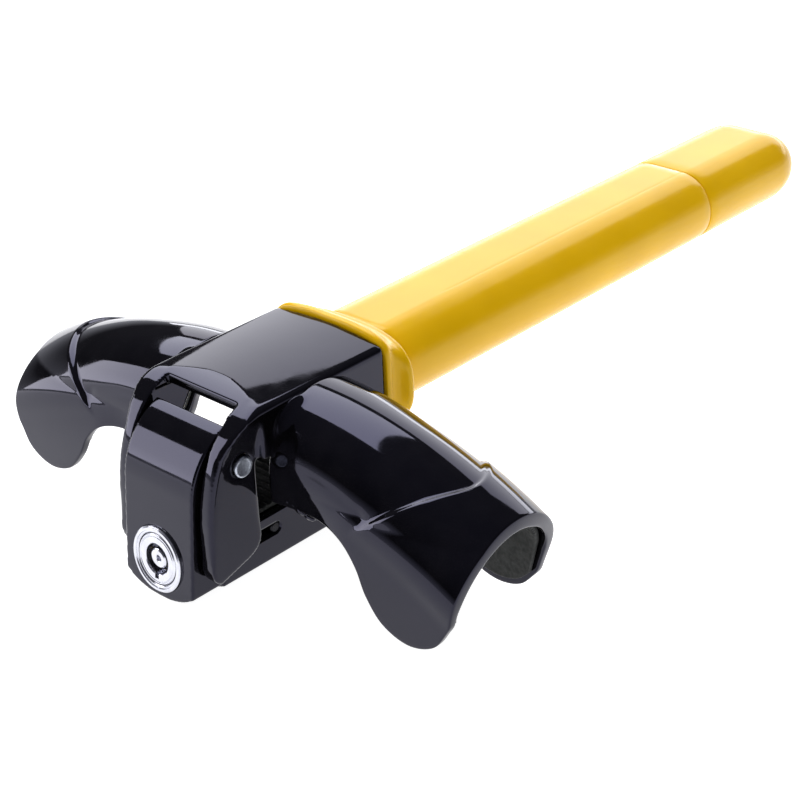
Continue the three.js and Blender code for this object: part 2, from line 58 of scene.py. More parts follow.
# ---- sizes, as in the CAD part --------------------------------------------------------------
RIM_Y = 52.3
WING_ROOT, WING_END, WING_R, WING_THICK = 25.6, 104.5, 24.0, 3.0
WING_BEND_R, WING_BEND_X, WING_CREST = 175.0, 20.0, 60.7
FLARE_Z, FLARE_DEPTH, FLARE_FADE = 36.0, 4.2, 12.0
SHOULDER_DROP = 0.8
END_BEND = {-1: 3, 1: 1.6}       # how late the end edge of a wing bends back, front and rear
FRONT_EAR = ((25.6, 28), (38, 29.2), (49, 29.6), (58, 26.6), (64.2, 20.5), (68.6, 12.5),
             (75.5, 5.2), (86, 2.4), (96, 6), (102.2, 14.5))
REAR_EAR = ((25.6, 28), (38, 29.2), (49, 29.6), (56.5, 25.6), (61.5, 18.5), (65.8, 9.5),
            (71.5, 1.4), (80.4, -1.2), (89.5, 1.0), (96, 7.5))
HEAD_HALF, HEAD_REAR, HEAD_TOP, HEAD_LOW, HEAD_CROWN = 25.3, 82.0, 61.0, -1.0, 2.0
PASSAGE_R, PASSAGE_Z = 23.6, 34.6
CHEEK_IN, CHEEK_OUT, CHEEK_REAR = 17.0, 22.3, 26.3
PIN_Y, PIN_Z, PIN_R = 20.0, 43.0, 3.2
FACE_LEAN = 0.1
JAW_HALF, BLOCK_END, ARM_END, ARM_TOP = 16.0, 13.4, 75.7, 15.4
LOCK_Z, RING_R, BARREL_R, KEYWAY_R = 9.5, 11.3, 8.75, 5.3
GRIP_HALF, GRIP_HIGH, GRIP_Z, GRIP_START, GRIP_SEAM = 22.0, 14.5, 43.4, 94.4, 277.0
HANDLE_END, DOME = 345.5, 16.0
BOLT_R, BOLT_TIP = 4.0, 81.0
GUIDE_R, GUIDE_HALF, GUIDE_Y, GUIDE_SLOT_START = 2.0, 15.6, 38.0, 26.7
SPRING_ROOM_R, SPRING_ROOM_END = 7.3, 27.1
PIN_GROOVE_HALF, PIN_GROOVE_START, PIN_GROOVE_END = 2.2, 5.4, 20.0
DOWEL_X, DOWEL_Z, DOWEL_HOLE_R = 12.6, 3.0, 1.8
TAPER_LOW, TAPER_TOP = 47.6, 58
JAW_ROOM_TOP, WINDOW_HALF, WINDOW_END = 57.6, 16.5, 25.3
STRIKE_HALF, STRIKE_START, STRIKE_END, STRIKE_TOP = 8, 76.5, 81.5, 18
BOLT_SLOT_HALF, BOLT_SLOT_START, BOLT_SLOT_END, BOLT_SLOT_TOP = 4.8, 75, 81.8, 14.3
FACE_Y, FACE_Z, FACE_R, FACE_TOP, LIP_ANGLE = 28.3, 31.5, 25, 34.0, 1.91
LOCKING_PIN_Y, LOCKING_PIN_HOLE_R = 16.5, 2.1
TUMBLERS, TUMBLER_PITCH_R, TUMBLER_HOLE_R = 7, 4.2, 0.75
COLLAR_START = 82.3
LOCK_INSET = 0.55                # how far the ring and barrel sit in from the CAD front


def at(x, y, z):
    return SEAT + Vector((x, y, z)) * MM


def smoothstep(value, low, high):
    t = min(1.0, max(0.0, (value - low) / (high - low)))
    return t * t * (3 - 2 * t)


# ---- mesh tools -----------------------------------------------------------------------------
def new_piece(name, points, faces):
    mesh = bpy.data.meshes.new(name)
    mesh.from_pydata([at(*p) for p in points], [], faces)
    mesh.validate()
    piece = bpy.data.objects.new(name, mesh)
    bpy.context.scene.collection.objects.link(piece)
    face_out(piece)
    return piece


def face_out(piece):
    """Turns every face outwards and shades the mesh smooth."""
    work = bmesh.new()
    work.from_mesh(piece.data)
    bmesh.ops.recalc_face_normals(work, faces=work.faces)
    for face in work.faces:
        face.smooth = True
    work.to_mesh(piece.data)
    work.free()


def bake(piece):
    """Applies the modifiers to the piece's own mesh."""
    bpy.context.view_layer.update()
    graph = bpy.context.evaluated_depsgraph_get()
    mesh = bpy.data.meshes.new_from_object(piece.evaluated_get(graph))
    piece.modifiers.clear()
    piece.data = mesh


def boolean(piece, operation, tool):
    step = piece.modifiers.new("cut", "BOOLEAN")
    step.operation = operation
    step.solver = "EXACT"
    step.object = tool
    bake(piece)
    bpy.data.objects.remove(tool)


def cut(piece, *tools):
    for tool in tools:
        boolean(piece, "DIFFERENCE", tool)


def soften(piece, voxel, rounds, group=None):
    """Remeshes to even small faces, then rounds every edge as casting and paint do."""
    if voxel:
        step = piece.modifiers.new("even", "REMESH")
        step.mode = "VOXEL"
        step.voxel_size = voxel * MM
        step.use_smooth_shade = True
        bake(piece)
    step = piece.modifiers.new("round", "SMOOTH")
    step.factor = 0.5
    step.iterations = rounds
    if group:
        step.vertex_group = group
    bake(piece)


def bevelled(piece, width, angle=35, segments=3):
    step = piece.modifiers.new("edges", "BEVEL")
    step.width = width * MM
    step.segments = segments
    step.limit_method = "ANGLE"
    step.angle_limit = math.radians(angle)
    step.harden_normals = True
    return piece


def prism(outline, axis, low, high):
    """Closed prism of an outline in (y, z) along x, or in (x, z) along y."""
    count = len(outline)
    if axis == "x":
        points = [(side, a, b) for side in (low, high) for a, b in outline]
    else:
        points = [(a, side, b) for side in (low, high) for a, b in outline]
    faces = [tuple(range(count)), tuple(range(count, 2 * count))]
    faces += [(i, (i + 1) % count, count + (i + 1) % count, count + i) for i in range(count)]
    return new_piece("tool", points, faces)


def block(x0, x1, y0, y1, z0, z1):
    return prism([(y0, z0), (y1, z0), (y1, z1), (y0, z1)], "x", x0, x1)


def ring_stack(name, rings, closed=False):
    """Surface through rings of points; its ends are capped unless it closes on itself."""
    count = len(rings[0])
    points = [p for ring in rings for p in ring]
    spans = len(rings) if closed else len(rings) - 1
    faces = []
    for k in range(spans):
        here, there = k * count, (k + 1) % len(rings) * count
        for i in range(count):
            j = (i + 1) % count
            faces.append((here + i, here + j, there + j, there + i))
    if not closed:
        faces.append(tuple(range(count)))
        faces.append(tuple(range(len(points) - count, len(points))))
    return new_piece(name, points, faces)


def turned(name, profile, segments=96, x=0.0, z=LOCK_Z, closed=False):
    """Body of revolution about a line along y: pairs of (radius, y)."""
    rings = []
    for radius, y in profile:
        angles = [2 * math.pi * i / segments for i in range(segments)]
        rings.append([(x + radius * math.cos(a), y, z + radius * math.sin(a)) for a in angles])
    return ring_stack(name, rings, closed)


def cross_rod(name, profile, y, z, segments=48):
    """Body of revolution about a line along x: pairs of (radius, x)."""
    rings = []
    for radius, x in profile:
        angles = [2 * math.pi * i / segments for i in range(segments)]
        rings.append([(x, y + radius * math.cos(a), z + radius * math.sin(a)) for a in angles])
    return ring_stack(name, rings)


def arc(cx, cy, radius, start, end, count):
    angles = [start + (end - start) * i / count for i in range(count + 1)]
    return [(cx + radius * math.cos(a), cy + radius * math.sin(a)) for a in angles]


def bezier(points, count):
    """Quadratic or cubic curve through its control points, without the first point."""
    curve = []
    for i in range(1, count + 1):
        layer = [Vector(p) for p in points]
        while len(layer) > 1:
            layer = [a.lerp(b, i / count) for a, b in zip(layer, layer[1:])]
        curve.append(tuple(layer[0]))
    return curve


# ---- head -----------------------------------------------------------------------------------
def head_side():
    """Side view of the head in (y, z)."""
    above = HEAD_TOP + HEAD_CROWN + 1
    side = [(HEAD_REAR, HEAD_LOW), (HEAD_REAR, above), (34, above), (33, 62.9)]
    side += bezier([(33, 62.9), (15.5, 60.5), (6.6, 47.5), (5, 26)], 36)
    side += bezier([(4.4, 12), (4.6, 6), (8, 5.4)], 8)
    side.append((20, 9))
    side += bezier([(20, 9), (26.3, 11), (CHEEK_REAR, 17)], 8)
    side += [(CHEEK_REAR, PIN_Z), (60, PIN_Z), (60, HEAD_LOW)]
    return side


def head_section():
    """Section of the head in (x, z), crowned on top."""
    half, top, edge = HEAD_HALF, HEAD_TOP, 2.5
    crown = [(half - edge, top + 0.3), (0, top + 2 * HEAD_CROWN - 0.3), (edge - half, top + 0.3)]
    section = [(-half, HEAD_LOW - 1), (half, HEAD_LOW - 1), (half, top - edge)]
    section += bezier([(half, top - edge), (half, top), crown[0]], 6)
    section += bezier(crown, 40)
    section += bezier([crown[2], (-half, top), (-half, top - edge)], 6)
    return section


def cheek_taper(side):
    """Below the shoulder of the head the cheeks are thinner than the top plate is wide."""
    outline = [(CHEEK_OUT, HEAD_LOW - 2), (HEAD_HALF + 5, HEAD_LOW - 2), (HEAD_HALF + 5, TAPER_TOP),
               (HEAD_HALF, TAPER_TOP), (CHEEK_OUT, TAPER_LOW)]
    return prism([(side * x, z) for x, z in outline], "y", -2, CHEEK_REAR + GAP)


def passage():
    arch = [(RIM_Y - PASSAGE_R, UNDERSIDE - 5), (RIM_Y + PASSAGE_R, UNDERSIDE - 5)]
    arch += arc(RIM_Y, PASSAGE_Z, PASSAGE_R, 0, math.pi, 64)
    return prism(arch, "x", -HEAD_HALF - 1, HEAD_HALF + 1)


def make_head():
    head = prism(head_section(), "y", 2, HEAD_REAR)
    head.name = "head_shell"
    boolean(head, "INTERSECT", prism(head_side(), "x", -HEAD_HALF - 1, HEAD_HALF + 1))
    cut(head, passage(),
        block(-CHEEK_IN, CHEEK_IN, -2, RIM_Y, UNDERSIDE - 5, JAW_ROOM_TOP),
        block(-WINDOW_HALF, WINDOW_HALF, -2, WINDOW_END, 50, 70),
        cross_rod("tool", [(PIN_R + GAP, -30), (PIN_R + GAP, 30)], PIN_Y, PIN_Z),
        block(-STRIKE_HALF - GAP, STRIKE_HALF + GAP, STRIKE_START, STRIKE_END, -2, STRIKE_TOP + GAP),
        block(-BOLT_SLOT_HALF, BOLT_SLOT_HALF, BOLT_SLOT_START, BOLT_SLOT_END, -8, BOLT_SLOT_TOP),
        cheek_taper(-1), cheek_taper(1))
    soften(head, 0.55, 3)
    corners = head.vertex_groups.new(name="front corners")
    for vertex in head.data.vertices:
        x, y, z = (vertex.co - SEAT) / MM
        weight = smoothstep(abs(x), 17.6, 19.5) * (1 - smoothstep(y, 24, 36)) * smoothstep(z, 12, 24)
        if weight > 0:
            corners.add([vertex.index], weight, "REPLACE")
    soften(head, 0, 40, "front corners")
    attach(head, "head")
    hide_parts("head_casting")
    return head


# ---- saddle wings ---------------------------------------------------------------------------
def crest_z(x):
    return WING_CREST - WING_BEND_R + math.sqrt(WING_BEND_R ** 2 - (x - WING_BEND_X) ** 2)


def ear_curve(points, count):
    """Centripetal Catmull-Rom curve through the points, evenly spread over its spans."""
    knots = [Vector(p) for p in points]
    knots = [2 * knots[0] - knots[1], *knots, 2 * knots[-1] - knots[-2]]
    curve = []
    for i in range(count + 1):
        place = i / count * (len(points) - 1)
        k = min(int(place), len(points) - 2)
        curve.append(catmull(knots[k:k + 4], place - k))
    return curve


def catmull(p, t):
    steps = [max((b - a).length ** 0.5, 1e-6) for a, b in zip(p, p[1:])]
    start = (p[1] - p[0]) / steps[0] - (p[2] - p[0]) / (steps[0] + steps[1]) + (p[2] - p[1]) / steps[1]
    end = (p[2] - p[1]) / steps[1] - (p[3] - p[1]) / (steps[1] + steps[2]) + (p[3] - p[2]) / steps[2]
    start, end = start * steps[1], end * steps[1]
    a = 2 * p[1] - 2 * p[2] + start + end
    b = -3 * p[1] + 3 * p[2] - 2 * start - end
    return ((a * t + b) * t + start) * t + p[1]


def flare(x, z):
    reach = smoothstep(x, 36, 60)
    return FLARE_DEPTH * (1 - math.exp(-max(0, FLARE_Z - z) / FLARE_FADE)) * reach


def ridge_x(s):
    """Where the formed step runs over the wing, at distance s down from its crest."""
    return 90 - 0.7 * (math.hypot(s, 7) - 7) - 0.0042 * s * s


def crease_s(x):
    """How far down the crease runs between the wing's arch and its flat ear."""
    return 30 + 4 * ((x - 45) / 21) ** 2


def relief(x, s, side):
    """Height of the formed details above the plain wing, outwards."""
    on_arch = 1 - smoothstep(s, 26, 42)
    step = 1.5 * smoothstep(x - ridge_x(s), -1.4, 1.4) * on_arch
    hollow = math.exp(-((s - crease_s(x)) / 2.0) ** 2)
    crease = -0.14 * hollow * smoothstep(x, 31, 38) * (1 - smoothstep(x, 63, 67))
    notch = -0.2 * math.exp(-((x - 63.5) / 2.2) ** 2 - ((s - 31.8) / 1.5) ** 2)
    edge = max(0.0, 1 - (x - WING_ROOT) / 4)
    arc_span = smoothstep(s, 6, 14) * (1 - smoothstep(s, 17, 26))
    fillet = 2.2 * edge ** 2.2 * arc_span if side < 0 else 0
    return step + crease + notch + fillet


def shoulder(x, s):
    """How far the rear of a wing lies inside a round arch."""
    return SHOULDER_DROP * smoothstep(x, 34, 62) * smoothstep(s, 0, 14) * (1 - smoothstep(s, 22, 37))


def wing_point(x, s, side, inset):
    centre = crest_z(x) - WING_R
    quarter = math.pi * WING_R / 2
    angle = min(s, quarter) / WING_R
    radius = WING_R - inset - (shoulder(x, s) if side > 0 else 0)
    if inset == 0:
        radius += relief(x, s, side)
    z = centre + radius * math.cos(angle) - max(0, s - quarter)
    y = radius * math.sin(angle) + (flare(x, z) if side < 0 else 0)
    return x, RIM_Y + side * y, z


def wing_patch(u, v, low, corner, end_bend):
    """Coons patch over half a wing: u from root to end, v from crest to lower edge."""
    end_x = WING_END - (WING_END - corner.x) * v ** end_bend
    x = (1 - v) * (WING_ROOT + u * (WING_END - WING_ROOT)) + v * low.x + (1 - u) * WING_ROOT + u * end_x
    x -= (1 - u) * WING_ROOT + u * (1 - v) * WING_END + u * v * corner.x
    depth = math.pi * WING_R / 2 + crest_z(low.x) - WING_R - low.y
    return x, v * depth


def wing_grid(side, inset, columns, rows):
    grid = []
    for i in range(-rows, rows + 1):
        half = -1 if i < 0 else 1
        ear = EARS[half]
        row = []
        for j in range(columns + 1):
            x, s = wing_patch(j / columns, abs(i) / rows, ear[j], ear[-1], END_BEND[half])
            px, y, z = wing_point(x, s, half, inset)
            row.append(Vector((side * px, y, z)))
        grid.append(row)
    return grid


def border(rows, columns):
    loop = [(0, j) for j in range(columns)] + [(i, columns) for i in range(rows)]
    loop += [(rows, j) for j in range(columns, 0, -1)] + [(i, 0) for i in range(rows, 0, -1)]
    return loop


EDGE_POWER = 0.6                 # below 1 the edge is flat with rounded corners


def formed_sheet(name, outer, inner, bulge, steps=10):
    """Sheet of some thickness between two matching grids, its edge rounded out by bulge."""
    rows, columns = len(outer) - 1, len(outer[0]) - 1
    points = [p for grid in (outer, inner) for row in grid for p in row]
    width, half = columns + 1, len(points) // 2
    faces = []
    for layer in (0, half):
        for i in range(rows):
            for j in range(columns):
                a = layer + i * width + j
                faces.append((a, a + 1, a + width + 1, a + width))
    loop = border(rows, columns)
    strips = [[i * width + j for i, j in loop]]
    for k in range(1, steps):
        angle = math.pi * k / steps
        strip = []
        for i, j in loop:
            near = outer[min(max(i, 1), rows - 1)][min(max(j, 1), columns - 1)]
            away = (outer[i][j] - near).normalized()
            middle = (outer[i][j] + inner[i][j]) / 2
            strip.append(len(points))
            across = math.copysign(abs(math.cos(angle)) ** EDGE_POWER, math.cos(angle))
            out = bulge * math.sin(angle) ** EDGE_POWER
            points.append(middle + (outer[i][j] - middle) * across + away * out)
        strips.append(strip)
    strips.append([half + i * width + j for i, j in loop])
    for here, there in zip(strips, strips[1:]):
        for k in range(len(loop)):
            n = (k + 1) % len(loop)
            faces.append((here[k], here[n], there[n], there[k]))
    return new_piece(name, points, faces)


WING_COLUMNS, WING_ROWS = 150, 76
EARS = {-1: ear_curve(FRONT_EAR, WING_COLUMNS), 1: ear_curve(REAR_EAR, WING_COLUMNS)}


def round_near(piece, places, reach):
    """Smooths the mesh round each place, fading out at the distance reach."""
    group = piece.vertex_groups.new(name="corners")
    for vertex in piece.data.vertices:
        point = (vertex.co - SEAT) / MM
        near = min((point - Vector(place)).length for place in places)
        if near < reach:
            group.add([vertex.index], 1 - smoothstep(near, reach / 3, reach), "REPLACE")
    soften(piece, 0, 24, "corners")


def make_wing(name, side):
    outer = wing_grid(side, 0, WING_COLUMNS, WING_ROWS)
    inner = wing_grid(side, WING_THICK, WING_COLUMNS, WING_ROWS)
    wing = formed_sheet(f"wing_skin_{name}", outer, inner, 0.8)
    corners = [(side * ear[-1].x, RIM_Y + half * WING_R, ear[-1].y) for half, ear in EARS.items()]
    round_near(wing, corners, 9)
    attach(wing, "head")
    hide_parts(f"saddle_wing_{name}")
    return wing


def make_wing_pad(name, side):
    """Rubber lining under a wing, ribbed along its arch."""
    columns, rows, low, start, share = 100, 110, 0.94, 0.02, 0.94
    thick, rib_high, rib_pitch = 2.0, 0.4, 2.3
    grids = []
    for depth in (0.0, thick):
        grid = []
        for i in range(-rows, rows + 1):
            half = -1 if i < 0 else 1
            ear = EARS[half]
            row = []
            for j in range(columns + 1):
                u = start + share * j / columns
                place = u * WING_COLUMNS
                k = min(int(place), WING_COLUMNS - 1)
                edge = ear[k].lerp(ear[k + 1], place - k)
                x, s = wing_patch(u, low * abs(i) / rows, edge, ear[-1], END_BEND[half])
                rib = rib_high * math.sin(2 * math.pi * s / rib_pitch) * (1 - smoothstep(s, 26, 32))
                inset = WING_THICK + 0.45 + (depth + rib if depth else 0)
                px, y, z = wing_point(x, s, half, inset)
                row.append(Vector((side * px, y, z)))
            grid.append(row)
        grids.append(grid)
    pad = formed_sheet(f"wing_lining_{name}", grids[0], grids[1], 0.4, 4)
    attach(pad, "head")
    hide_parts(f"saddle_pad_{name}")
    return pad


def make_crown_lining():
    """Ribbed rubber strip on the rear of the head's arch."""
    columns, rows, width, thick, rib_high = 40, 60, 48, 2, 0.3
    start, sweep = 0.03, 1.27
    grids = []
    for depth in (GAP, GAP + thick):
        grid = []
        for i in range(rows + 1):
            angle = start + sweep * i / rows
            rib = rib_high * math.sin(angle * 60) if depth > GAP else 0
            radius = PASSAGE_R - depth - rib
            y, z = RIM_Y + radius * math.sin(angle), PASSAGE_Z + radius * math.cos(angle)
            grid.append([Vector(((j / columns - 0.5) * width, y, z)) for j in range(columns + 1)])
        grids.append(grid)
    pad = formed_sheet("crown_lining", grids[0], grids[1], 0.3, 3)
    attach(pad, "head")
    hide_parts("crown_pad")
    return pad


def bead(name, path, radius, body, seed, segments=16):
    """Uneven weld bead along a path."""
    rings = []
    for k, centre in enumerate(path):
        ahead = path[min(k + 1, len(path) - 1)] - path[max(k - 1, 0)]
        turn = ahead.to_track_quat("Z", "Y")
        lump = 1 + 0.28 * noise.noise(Vector((k * 0.55, seed, 0)))
        fade = math.sin(math.pi * (k + 0.5) / len(path)) ** 0.25
        ring = []
        for i in range(segments):
            angle = 2 * math.pi * i / segments
            wobble = lump + 0.12 * noise.noise(Vector((k * 0.9, seed + i, 3.0)))
            reach = radius * wobble * fade
            ring.append(centre + turn @ Vector((math.cos(angle), math.sin(angle), 0)) * reach)
        rings.append(ring)
    weld = ring_stack(name, rings)
    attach(weld, body)
    return weld


def make_welds():
    """Beads between the head and the front skirts of the wings."""
    start, length, steps = 26.2, 17, 24
    welds = []
    for name, side in SIDES:
        path = []
        for k in range(steps + 1):
            x = start + length * k / steps
            path.append(Vector((side * x, RIM_Y - WING_R + 1.4, 28.6 + 1.2 * math.sin(k / 5))))
        welds.append(bead(f"skirt_weld_{name}", path, 1.5, "head", 7 + side))
    return welds


# ---- jaw ------------------------------------------------------------------------------------
def belly(rise, power, top):
    """Section of the jaw in (x, z): straight sides and a bulging underside."""
    under = []
    for i in range(41):
        x = JAW_HALF * (i / 20 - 1)
        under.append((x, UNDERSIDE + rise * abs(x / JAW_HALF) ** power))
    return [(-JAW_HALF, top), *under, (JAW_HALF, top)]


def jaw_side():
    """Side view of the lock block in (y, z): ears round the rivet and a curved, leaning face."""
    start = math.pi - math.asin((FACE_TOP - FACE_Z) / FACE_R)
    side = [(FACE_LEAN * UNDERSIDE, UNDERSIDE - 1), (BLOCK_END, UNDERSIDE - 1),
            (BLOCK_END, ARM_TOP + GAP), (CHEEK_REAR, ARM_TOP + GAP)]
    side += arc(PIN_Y, PIN_Z, CHEEK_REAR - PIN_Y, 0, math.pi / 2, 16)
    side += arc(FACE_Y, FACE_Z, FACE_R, LIP_ANGLE, start, 40)
    return side


def dowel_holes():
    """Tools for the two holes that take the dowels between block and arm."""
    return [turned("tool", [(DOWEL_HOLE_R, 8), (DOWEL_HOLE_R, 20)], 24, side * DOWEL_X, DOWEL_Z)
            for _, side in SIDES]


def make_jaw_block():
    jaw = prism(belly(4.4, 2.3, 60), "y", -2, 30)
    jaw.name = "jaw_front"
    boolean(jaw, "INTERSECT", prism(jaw_side(), "x", -JAW_HALF - 1, JAW_HALF + 1))
    soften(jaw, 0.45, 4)
    cut(jaw,
        turned("tool", [(RING_R + 0.12, -5), (RING_R + 0.12, 6.3)]),
        turned("tool", [(BARREL_R + GAP, -5), (BARREL_R + GAP, 27)]),
        block(-PIN_GROOVE_HALF, PIN_GROOVE_HALF, PIN_GROOVE_START, PIN_GROOVE_END, LOCK_Z, LOCK_Z + 11),
        cross_rod("tool", [(PIN_R + GAP, -20), (PIN_R + GAP, 20)], PIN_Y, PIN_Z),
        *dowel_holes())
    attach(jaw, "jaw")
    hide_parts("jaw_block")
    return jaw


def make_jaw_arm():
    arm = prism(belly(3.0, 3, ARM_TOP), "y", BLOCK_END + GAP, ARM_END)
    arm.name = "jaw_bar"
    soften(arm, 0.45, 3)
    cut(arm,
        turned("tool", [(BARREL_R + GAP, 0), (BARREL_R + GAP, 24.4)]),
        turned("tool", [(BOLT_R + GAP, 20), (BOLT_R + GAP, ARM_END + 2)]),
        turned("tool", [(SPRING_ROOM_R, 20), (SPRING_ROOM_R, SPRING_ROOM_END)]),
        block(-20, 20, GUIDE_SLOT_START, GUIDE_Y, LOCK_Z - GUIDE_R - GAP, LOCK_Z + GUIDE_R + GAP),
        cross_rod("tool", [(GUIDE_R + GAP, -20), (GUIDE_R + GAP, 20)], GUIDE_Y, LOCK_Z),
        *dowel_holes())
    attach(arm, "jaw")
    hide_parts("jaw_arm")
    return arm


def make_jaw_lining():
    """Ribbed rubber strip on top of the jaw arm."""
    columns, rows, start, length, width, thick = 60, 130, 30, 43, 26, 2
    rib_high, rib_pitch = 0.3, 3
    grids = []
    for level in (ARM_TOP + GAP + thick, ARM_TOP + GAP):
        grid = []
        for i in range(rows + 1):
            y = start + length * i / rows
            wave = rib_high * math.sin(2 * math.pi * y / rib_pitch) - rib_high
            z = level + (wave if level > ARM_TOP + 1 else 0)
            grid.append([Vector(((j / columns - 0.5) * width, y, z)) for j in range(columns + 1)])
        grids.append(grid)
    pad = formed_sheet("jaw_lining", grids[0], grids[1], 0.3, 3)
    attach(pad, "jaw")
    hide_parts("jaw_pad")
    return pad


def make_rivet():
    inner = CHEEK_OUT + GAP
    rim = [(PIN_R, -0.2), (3.6, -0.2), (3.6, 0.3), (3.4, 0.55), (3.0, 0.65), (2.6, 0.55), (2.2, 0.42),
           (0.4, 0.36)]
    right = [(r, inner + x) for r, x in rim]
    profile = [(r, -x) for r, x in reversed(right)] + right
    rivet = cross_rod("hinge_rivet", profile, PIN_Y, PIN_Z, 64)
    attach(rivet, "head")
    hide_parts("hinge_pin")
    return bevelled(rivet, 0.12, 50, 2)


# ---- lock -----------------------------------------------------------------------------------
def lean_front(piece, depth, forward):
    """Leans the front of a lock piece back like the face that it sits in, and sets it in by depth."""
    for vertex in piece.data.vertices:
        point = (vertex.co - SEAT) / MM
        if point.y < forward:
            vertex.co.y += (FACE_LEAN * (point.z - LOCK_Z) + depth) * MM
    piece.data.update()


def make_bezel():
    inner = BARREL_R + GAP
    profile = [(inner, -0.1), (inner + 0.35, -0.45), (inner + 0.75, -0.45), (inner + 0.95, BEZEL_FRONT),
               (RING_R - 0.5, BEZEL_FRONT), (RING_R, BEZEL_FRONT + 0.5), (RING_R, 6), (inner, 6)]
    ring = turned("lock_ring", profile, 128, closed=True)
    lean_front(ring, LOCK_INSET, 1)
    cut(ring, block(-PIN_GROOVE_HALF, PIN_GROOVE_HALF, PIN_GROOVE_START, 7, LOCK_Z + 5, LOCK_Z + 10.7))
    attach(ring, "jaw")
    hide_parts("lock_bezel")
    return bevelled(ring, 0.12, 30, 2)


def make_barrel():
    front, back = -0.4, 22
    notch_half, notch_deep, notch_back = 0.9, 1.6, 3
    profile = [(KEYWAY_R, front + 0.25), (KEYWAY_R + 0.3, front), (7.6, front), (7.75, front + 0.18),
               (7.95, front + 0.18), (8.1, front), (BARREL_R - 0.35, front), (BARREL_R, front + 0.35),
               (BARREL_R, back), (6, back), (6, 19), (3.3, 19), (3.3, 14.3), (KEYWAY_R, 14.3)]
    barrel = turned("lock_cylinder", profile, 128, closed=True)
    lean_front(barrel, LOCK_INSET, 1)
    # the hole for the locking pin is made along x, then x and z are swapped to stand it upright
    pin_hole = prism(arc(LOCKING_PIN_Y, 0, LOCKING_PIN_HOLE_R, 0, 2 * math.pi * 23 / 24, 23), "x", 0, 12)
    pin_hole.data.transform(Matrix.Translation(-SEAT))
    pin_hole.data.transform(Matrix(((0, 0, 1, 0), (0, 1, 0, 0), (1, 0, 0, 0), (0, 0, 0, 1))))
    pin_hole.data.transform(Matrix.Translation(SEAT + Vector((0, 0, (LOCK_Z + 1.5) * MM))))
    face_out(pin_hole)
    notch_low = LOCK_Z - KEYWAY_R - notch_deep
    notch = block(-notch_half, notch_half, front - 1, notch_back, notch_low, LOCK_Z - 3)
    cut(barrel, notch, pin_hole)
    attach(barrel, "barrel")
    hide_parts("lock_barrel")
    return bevelled(barrel, 0.1, 30, 2)


def make_plug():
    profile = [(0.25, 2.4), (1.0, 2.4), (1.05, 1.05), (1.35, 0.8), (1.8, 0.75), (3.1, 0.75), (3.5, 1.15),
               (3.5, 5.6), (5, 5.6), (5, 14), (1.5, 14), (1.5, 18.7), (0.25, 18.7)]
    plug = turned("key_post", profile, 96)
    for i in range(TUMBLERS):
        angle = 2 * math.pi * (i + 0.5) / TUMBLERS
        x, z = TUMBLER_PITCH_R * math.sin(angle), LOCK_Z + TUMBLER_PITCH_R * math.cos(angle)
        cut(plug, turned("tool", [(TUMBLER_HOLE_R, 4.6), (TUMBLER_HOLE_R, 11)], 16, x, z))
    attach(plug, "plug")
    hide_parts("lock_plug")
    return bevelled(plug, 0.08, 40, 2)


def make_bolt():
    profile = [(0.2, 22.3), (5.2, 22.3), (5.2, 23.8), (2.6, 23.8), (2.6, 27.3), (BOLT_R, 27.4),
               (BOLT_R, 79.6), (3.6, 80.4), (2.8, BOLT_TIP), (0.2, BOLT_TIP)]
    bolt = turned("bolt_rod", profile, 64)
    cut(bolt, cross_rod("tool", [(GUIDE_R + GAP, -6), (GUIDE_R + GAP, 6)], GUIDE_Y, LOCK_Z))
    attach(bolt, "barrel")
    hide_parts("lock_bolt")
    return bevelled(bolt, 0.2, 30, 2)


def make_guide_pin():
    profile = [(GUIDE_R - 0.5, -GUIDE_HALF), (GUIDE_R, 0.5 - GUIDE_HALF), (GUIDE_R, GUIDE_HALF - 0.5),
               (GUIDE_R - 0.5, GUIDE_HALF)]
    pin = cross_rod("guide_rod", profile, GUIDE_Y, LOCK_Z)
    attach(pin, "barrel")
    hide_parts("guide_pin")
    return bevelled(pin, 0.15, 30, 2)


# ---- handle ---------------------------------------------------------------------------------
SPLIT_X, SPLIT_START, SPLIT_DEEP = 7.7, 133, 0.12  # moulding line on top of the grip
GRIP_WALL = 2.5


def grip_ring(half, high, y, groove=0.0):
    """Ring of the grip: two half circles joined by flats, with a faint moulding line on top."""
    flat = half - high
    right = [(flat + x, z) for x, z in arc(0, 0, high, -math.pi / 2, math.pi / 2, 36)]
    left = [(x - flat, z) for x, z in arc(0, 0, high, math.pi / 2, 1.5 * math.pi, 36)]
    line = [(flat * k / 8, -high) for k in range(-7, 8)]
    ridge = [(-flat * k / 8, high) for k in range(-7, 8)]
    seam = [(SPLIT_X - 0.35, high), (SPLIT_X - 0.15, high - groove), (SPLIT_X + 0.15, high - groove),
            (SPLIT_X + 0.35, high)]
    split = [p for p in right if p[0] > SPLIT_X + 1 or p[1] < high * 0.5]
    ring = split + seam[::-1] + ridge + left + line
    return [(x, y, GRIP_Z + z) for x, z in ring]


def inset_ring(depth, y):
    """Ring of the grip, set in all round by depth."""
    return grip_ring(GRIP_HALF - depth, GRIP_HIGH - depth, y)


def make_sleeve():
    start, seam = GRIP_START, GRIP_SEAM
    rings = [inset_ring(GRIP_WALL, start + 0.2), inset_ring(0.6, start)]
    steps = 40
    for k in range(steps + 1):
        y = start + 0.5 + (seam - start - 1.1) * k / steps
        rings.append(grip_ring(GRIP_HALF, GRIP_HIGH, y, SPLIT_DEEP if y > SPLIT_START else 0.0))
    rings += [inset_ring(0.12, seam - 0.25), inset_ring(0.5, seam), inset_ring(GRIP_WALL, seam)]
    sleeve = ring_stack("grip_skin", rings, closed=True)
    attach(sleeve, "head")
    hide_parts("grip_sleeve")
    return sleeve


